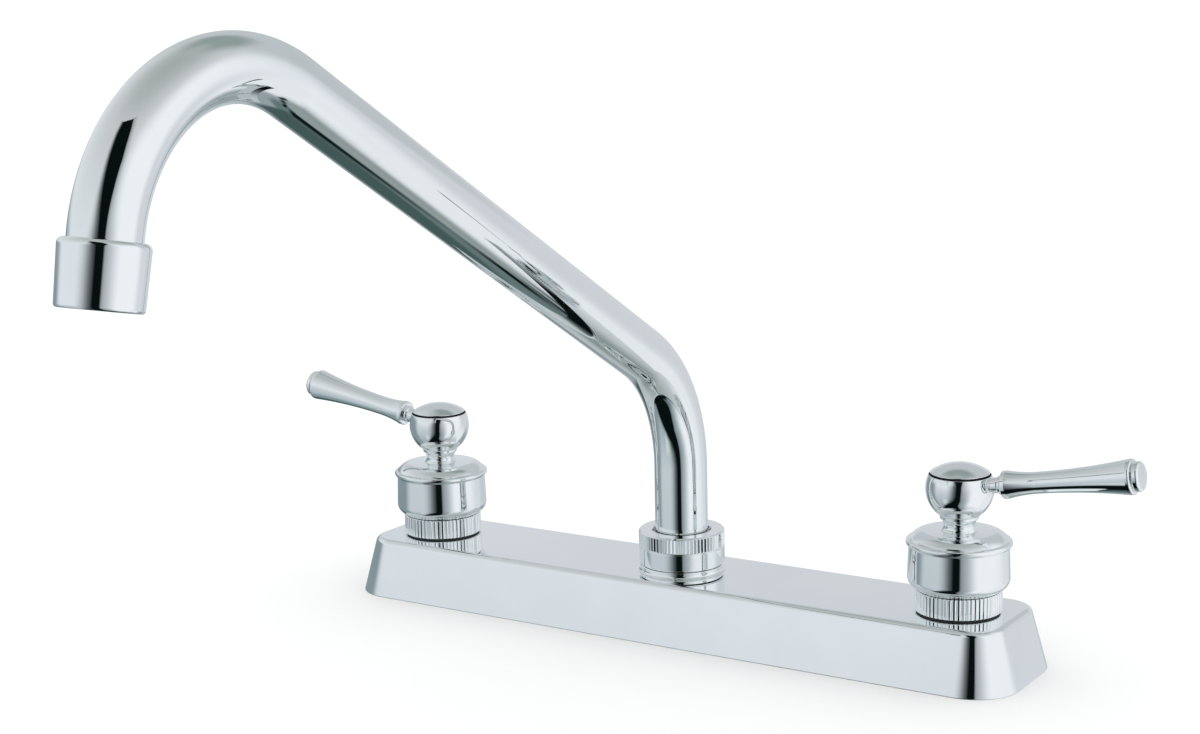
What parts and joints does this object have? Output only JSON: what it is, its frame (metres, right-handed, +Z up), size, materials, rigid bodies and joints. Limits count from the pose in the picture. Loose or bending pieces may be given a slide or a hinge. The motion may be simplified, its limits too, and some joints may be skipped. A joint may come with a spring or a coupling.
{
  "type": "two handle kitchen faucet",
  "caption": "Deck-mounted kitchen faucet with a long chrome base plate, a lever handle at each end and a tall sloping swing spout with an aerator.",
  "frame": {"origin": "in the plane of the sink deck, midway between the two inlets and on the spout's swivel axis", "axes": "+X along the base plate towards the cold handle, -Y towards the sink bowl where the spout points at rest, +Z up"},
  "size_m": [0.3214, 0.2975, 0.2103],
  "materials": {
    "deck_plate": "polished chrome plate",
    "deck_gasket": "moulded rubber",
    "waterway_body": "cast and machined yellow brass",
    "spout_nut": "polished chrome plate",
    "swivel_bush": "moulded acetal",
    "hot_flange_ring": "polished chrome plate",
    "hot_flange_seal": "moulded rubber",
    "hot_cartridge_bonnet": "cast and machined yellow brass",
    "hot_seat_seal": "moulded rubber",
    "hot_fixed_disc": "lapped alumina",
    "cold_flange_ring": "polished chrome plate",
    "cold_flange_seal": "moulded rubber",
    "cold_cartridge_bonnet": "cast and machined yellow brass",
    "cold_seat_seal": "moulded rubber",
    "cold_fixed_disc": "lapped alumina",
    "hot_handle_hub": "polished chrome plate",
    "hot_index_button": "polished chrome plate",
    "hot_handle_screw": "plain stainless steel",
    "hot_splined_stem": "cast and machined yellow brass",
    "hot_stem_seal": "moulded rubber",
    "hot_turning_disc": "lapped alumina",
    "hot_lever_ferrule": "polished chrome plate",
    "hot_lever_grip": "polished chrome plate",
    "hot_lever_end_cap": "polished chrome plate",
    "hot_lever_stud": "plain stainless steel",
    "cold_handle_hub": "polished chrome plate",
    "cold_index_button": "polished chrome plate",
    "cold_handle_screw": "plain stainless steel",
    "cold_splined_stem": "cast and machined yellow brass",
    "cold_stem_seal": "moulded rubber",
    "cold_turning_disc": "lapped alumina",
    "cold_lever_ferrule": "polished chrome plate",
    "cold_lever_grip": "polished chrome plate",
    "cold_lever_end_cap": "polished chrome plate",
    "cold_lever_stud": "plain stainless steel",
    "spout_tube": "polished chrome plate",
    "spout_collar": "cast and machined yellow brass",
    "spout_seal_rings": "moulded rubber",
    "aerator_housing": "polished chrome plate",
    "aerator_washer": "moulded rubber",
    "aerator_mesh": "plain stainless steel",
    "flow_straightener": "moulded acetal"
  },
  "bodies": {
    "deck": {"deck_plate": "deck_plate", "deck_gasket": "deck_gasket", "waterway_body": "waterway_body", "spout_nut": "spout_nut", "swivel_bush": "swivel_bush", "hot_flange_ring": "hot_flange_ring", "hot_flange_seal": "hot_flange_seal", "hot_cartridge_bonnet": "hot_cartridge_bonnet", "hot_seat_seal": "hot_seat_seal", "hot_fixed_disc": "hot_fixed_disc", "cold_flange_ring": "cold_flange_ring", "cold_flange_seal": "cold_flange_seal", "cold_cartridge_bonnet": "cold_cartridge_bonnet", "cold_seat_seal": "cold_seat_seal", "cold_fixed_disc": "cold_fixed_disc"},
    "hot_handle": {"hot_handle_hub": "hot_handle_hub", "hot_index_button": "hot_index_button", "hot_handle_screw": "hot_handle_screw", "hot_splined_stem": "hot_splined_stem", "hot_stem_seal": "hot_stem_seal", "hot_turning_disc": "hot_turning_disc", "hot_lever_ferrule": "hot_lever_ferrule", "hot_lever_grip": "hot_lever_grip", "hot_lever_end_cap": "hot_lever_end_cap", "hot_lever_stud": "hot_lever_stud"},
    "cold_handle": {"cold_handle_hub": "cold_handle_hub", "cold_index_button": "cold_index_button", "cold_handle_screw": "cold_handle_screw", "cold_splined_stem": "cold_splined_stem", "cold_stem_seal": "cold_stem_seal", "cold_turning_disc": "cold_turning_disc", "cold_lever_ferrule": "cold_lever_ferrule", "cold_lever_grip": "cold_lever_grip", "cold_lever_end_cap": "cold_lever_end_cap", "cold_lever_stud": "cold_lever_stud"},
    "spout": {"spout_tube": "spout_tube", "spout_collar": "spout_collar", "spout_seal_rings": "spout_seal_rings", "aerator_housing": "aerator_housing", "aerator_washer": "aerator_washer", "aerator_mesh": "aerator_mesh", "flow_straightener": "flow_straightener"}
  },
  "joints": [
    {"name": "spout_swivel", "type": "hinge", "parent": "deck", "child": "spout", "pos_m": [0, 0, 0.03], "axis": [0, 0, 1], "range_deg": [-180, 180]},
    {"name": "hot_handle_turn", "type": "hinge", "parent": "deck", "child": "hot_handle", "pos_m": [-0.1016, 0, 0.0434], "axis": [0, 0, 1], "range_deg": [0, 90]},
    {"name": "cold_handle_turn", "type": "hinge", "parent": "deck", "child": "cold_handle", "pos_m": [0.1016, 0, 0.0434], "axis": [0, 0, 1], "range_deg": [-90, 0]}
  ]
}
